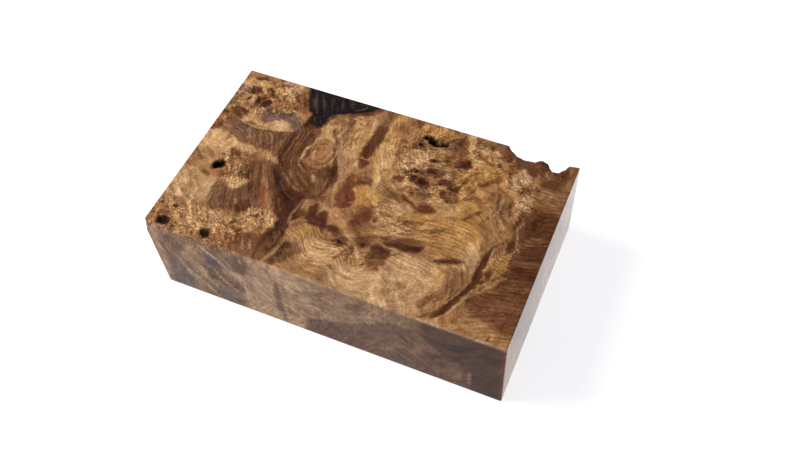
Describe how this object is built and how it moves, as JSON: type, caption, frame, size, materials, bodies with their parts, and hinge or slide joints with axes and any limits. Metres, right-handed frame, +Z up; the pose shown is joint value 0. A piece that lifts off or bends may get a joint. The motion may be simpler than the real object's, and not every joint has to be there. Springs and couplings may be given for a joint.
{
  "type": "stabilized burl block",
  "caption": "Rectangular block of resin-stabilized burl wood with pin eyes, a bark inclusion, small voids and a natural edge at one corner, sold for carving handles and boxes.",
  "frame": {"origin": "middle of the underside", "axes": "+X along the length towards the end with the natural edge, +Y from the long front face to the back, +Z up"},
  "size_m": [0.127, 0.075, 0.0366],
  "materials": {
    "stabilized_burl": "fine-sanded burl filled with clear resin, honey gold to dark brown, satin"
  },
  "bodies": {
    "root": {"burl_block": "stabilized_burl"}
  },
  "joints": []
}
